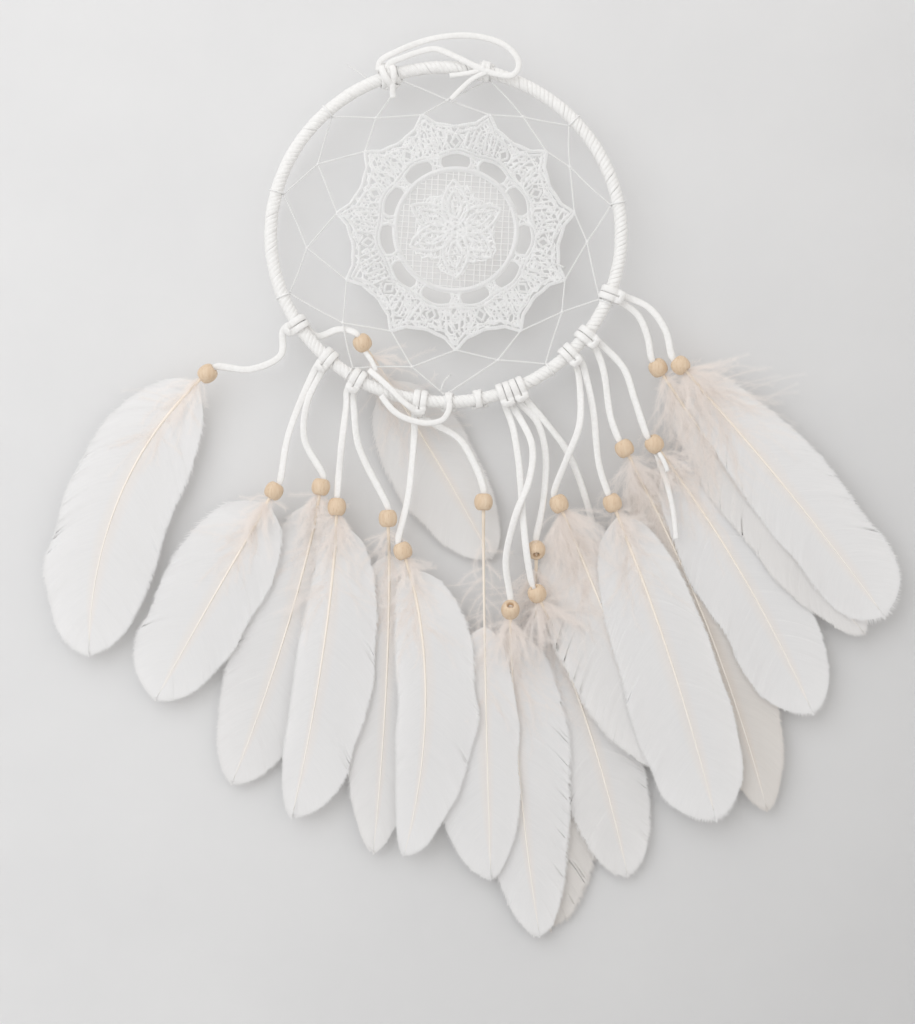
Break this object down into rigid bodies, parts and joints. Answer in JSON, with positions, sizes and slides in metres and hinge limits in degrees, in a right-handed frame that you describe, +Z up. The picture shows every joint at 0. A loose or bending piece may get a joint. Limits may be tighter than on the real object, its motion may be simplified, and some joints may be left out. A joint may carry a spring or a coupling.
{
  "type": "dream catcher",
  "caption": "Round lace-wrapped hoop with a thread web and crochet doily inside, and lace cords that carry wooden beads and white feathers. Hangs by a lace loop.",
  "frame": {"origin": "middle of the inner face at the far end of the hanging loop, where it bears on a nail or hook", "axes": "+Z up to the hanging end, +X to the right seen from the front, the front faces -Y"},
  "size_m": [0.377, 0.0226, 0.4075],
  "materials": {
    "ring_metal": "bare drawn wire, hidden under the lace",
    "suede_lace": "matte faux suede lace, short nap",
    "web_thread": "twisted synthetic thread, slight sheen",
    "crochet_cotton": "matte crocheted cotton",
    "bead_wood": "sanded natural wood, satin",
    "feather": "white goose feather, cream shaft"
  },
  "bodies": {
    "hoop_body": {"hoop_ring": "ring_metal", "hoop_wrap": "suede_lace", "loop_knot": "suede_lace", "web_thread": "web_thread", "doily": "crochet_cotton"},
    "loop_body": {"hanging_loop": "suede_lace"},
    "cord_1_body": {"cord_1": "suede_lace"},
    "pendant_01_body": {"bead_01": "bead_wood", "feather_01": "feather"},
    "pendant_05_body": {"bead_05": "bead_wood", "feather_05": "feather"},
    "cord_2_body": {"cord_2": "suede_lace"},
    "pendant_02_body": {"bead_02": "bead_wood", "feather_02": "feather"},
    "pendant_03_body": {"bead_03": "bead_wood", "feather_03": "feather"},
    "cord_3_body": {"cord_3": "suede_lace"},
    "pendant_04_body": {"bead_04": "bead_wood", "feather_04": "feather"},
    "pendant_06_body": {"bead_06": "bead_wood", "feather_06": "feather"},
    "cord_4_body": {"cord_4": "suede_lace"},
    "pendant_07_body": {"bead_07": "bead_wood", "feather_07": "feather"},
    "pendant_08_body": {"bead_08": "bead_wood", "feather_08": "feather"},
    "cord_5_6_body": {"cord_5": "suede_lace", "cord_6": "suede_lace"},
    "pendant_11_body": {"bead_11": "bead_wood", "feather_11": "feather"},
    "pendant_09_body": {"bead_09": "bead_wood", "feather_09": "feather"},
    "pendant_10_body": {"bead_10": "bead_wood", "feather_10": "feather"},
    "pendant_18_body": {"bead_18": "bead_wood", "feather_18": "feather"},
    "cord_7_body": {"cord_7": "suede_lace"},
    "pendant_12_body": {"bead_12": "bead_wood", "feather_12": "feather"},
    "pendant_13_body": {"bead_13": "bead_wood", "feather_13": "feather"},
    "cord_8_body": {"cord_8": "suede_lace"},
    "pendant_14_body": {"bead_14": "bead_wood", "feather_14": "feather"},
    "pendant_15_body": {"bead_15": "bead_wood", "feather_15": "feather"},
    "cord_9_body": {"cord_9": "suede_lace"},
    "pendant_16_body": {"bead_16": "bead_wood", "feather_16": "feather"},
    "pendant_17_body": {"bead_17": "bead_wood", "feather_17": "feather"}
  },
  "joints": [
    {"name": "loop_flip", "type": "hinge", "parent": "hoop_body", "child": "loop_body", "pos_m": [-0.05967, 0.0052, 0.00376], "axis": [0, -1, 0], "range_deg": [0, 120]},
    {"name": "cord_1_swing", "type": "hinge", "parent": "hoop_body", "child": "cord_1_body", "pos_m": [-0.09771, 0.0052, -0.11606], "axis": [-0.5532, 0, 0.8331], "range_deg": [0, 30]},
    {"name": "pendant_01_swing", "type": "hinge", "parent": "cord_1_body", "child": "pendant_01_body", "pos_m": [-0.13495, 0.0052, -0.13575], "axis": [0, -1, 0], "range_deg": [-25, 15]},
    {"name": "pendant_05_swing", "type": "hinge", "parent": "cord_1_body", "child": "pendant_05_body", "pos_m": [-0.07096, 0.0052, -0.12094], "axis": [0, -1, 0], "range_deg": [-20, 25]},
    {"name": "cord_2_swing", "type": "hinge", "parent": "hoop_body", "child": "cord_2_body", "pos_m": [-0.08408, 0.0052, -0.13153], "axis": [-0.7557, 0, 0.6549], "range_deg": [-30, 0]},
    {"name": "pendant_02_swing", "type": "hinge", "parent": "cord_2_body", "child": "pendant_02_body", "pos_m": [-0.1063, 0.0052, -0.18739], "axis": [0, -1, 0], "range_deg": [-25, 25]},
    {"name": "pendant_03_swing", "type": "hinge", "parent": "cord_2_body", "child": "pendant_03_body", "pos_m": [-0.0866, 0.0052, -0.18507], "axis": [0, -1, 0], "range_deg": [-20, 15]},
    {"name": "cord_3_swing", "type": "hinge", "parent": "hoop_body", "child": "cord_3_body", "pos_m": [-0.07087, 0.0052, -0.14079], "axis": [-0.8731, 0, 0.4876], "range_deg": [0, 30]},
    {"name": "pendant_04_swing", "type": "hinge", "parent": "cord_3_body", "child": "pendant_04_body", "pos_m": [-0.07997, 0.0052, -0.19401], "axis": [0, -1, 0], "range_deg": [-25, 12]},
    {"name": "pendant_06_swing", "type": "hinge", "parent": "cord_3_body", "child": "pendant_06_body", "pos_m": [-0.05725, 0.0052, -0.19921], "axis": [0, -1, 0], "range_deg": [-25, 20]},
    {"name": "cord_4_swing", "type": "hinge", "parent": "hoop_body", "child": "cord_4_body", "pos_m": [-0.04255, 0.0052, -0.15029], "axis": [-0.9902, 0, 0.1397], "range_deg": [0, 30]},
    {"name": "pendant_07_swing", "type": "hinge", "parent": "cord_4_body", "child": "pendant_07_body", "pos_m": [-0.05188, 0.0052, -0.21408], "axis": [0, -1, 0], "range_deg": [-25, 15]},
    {"name": "pendant_08_swing", "type": "hinge", "parent": "cord_4_body", "child": "pendant_08_body", "pos_m": [-0.01411, 0.0052, -0.1918], "axis": [0, -1, 0], "range_deg": [-25, 5]},
    {"name": "cord_5_6_swing", "type": "hinge", "parent": "hoop_body", "child": "cord_5_6_body", "pos_m": [-0.00154, 0.0052, -0.14566], "axis": [-0.9335, 0, -0.3586], "range_deg": [-30, 0]},
    {"name": "pendant_11_swing", "type": "hinge", "parent": "cord_5_6_body", "child": "pendant_11_body", "pos_m": [0.00819, 0.0052, -0.23342], "axis": [0, -1, 0], "range_deg": [-25, 25]},
    {"name": "pendant_09_swing", "type": "hinge", "parent": "cord_5_6_body", "child": "pendant_09_body", "pos_m": [-0.00201, 0.0052, -0.2403], "axis": [0, -1, 0], "range_deg": [-10, 25]},
    {"name": "pendant_10_swing", "type": "hinge", "parent": "cord_5_6_body", "child": "pendant_10_body", "pos_m": [0.00969, 0.0072, -0.2134], "axis": [0, -1, 0], "range_deg": [-25, 25]},
    {"name": "pendant_18_swing", "type": "hinge", "parent": "cord_5_6_body", "child": "pendant_18_body", "pos_m": [0.03689, 0.017, -0.21135], "axis": [0, -1, 0], "range_deg": [-25, 25]},
    {"name": "cord_7_swing", "type": "hinge", "parent": "hoop_body", "child": "cord_7_body", "pos_m": [0.02446, 0.0052, -0.12936], "axis": [-0.7277, 0, -0.6859], "range_deg": [0, 30]},
    {"name": "pendant_12_swing", "type": "hinge", "parent": "cord_7_body", "child": "pendant_12_body", "pos_m": [0.01822, 0.0052, -0.19296], "axis": [0, -1, 0], "range_deg": [-8, 20]},
    {"name": "pendant_13_swing", "type": "hinge", "parent": "cord_7_body", "child": "pendant_13_body", "pos_m": [0.04222, 0.0052, -0.19256], "axis": [0, -1, 0], "range_deg": [-15, 25]},
    {"name": "cord_8_swing", "type": "hinge", "parent": "hoop_body", "child": "cord_8_body", "pos_m": [0.03191, 0.0052, -0.12125], "axis": [-0.6219, 0, -0.7831], "range_deg": [-30, 0]},
    {"name": "pendant_14_swing", "type": "hinge", "parent": "cord_8_body", "child": "pendant_14_body", "pos_m": [0.04718, 0.0052, -0.16829], "axis": [0, -1, 0], "range_deg": [-12, 25]},
    {"name": "pendant_15_swing", "type": "hinge", "parent": "cord_8_body", "child": "pendant_15_body", "pos_m": [0.06015, 0.0052, -0.16666], "axis": [0, -1, 0], "range_deg": [-25, 20]},
    {"name": "cord_9_swing", "type": "hinge", "parent": "hoop_body", "child": "cord_9_body", "pos_m": [0.04289, 0.0052, -0.10229], "axis": [-0.3677, 0, -0.9299], "range_deg": [0, 30]},
    {"name": "pendant_16_swing", "type": "hinge", "parent": "cord_9_body", "child": "pendant_16_body", "pos_m": [0.0623, 0.0068, -0.132], "axis": [0, -1, 0], "range_deg": [-8, 20]},
    {"name": "pendant_17_swing", "type": "hinge", "parent": "cord_9_body", "child": "pendant_17_body", "pos_m": [0.07154, 0.0036, -0.13155], "axis": [0, -1, 0], "range_deg": [-20, 25]}
  ]
}
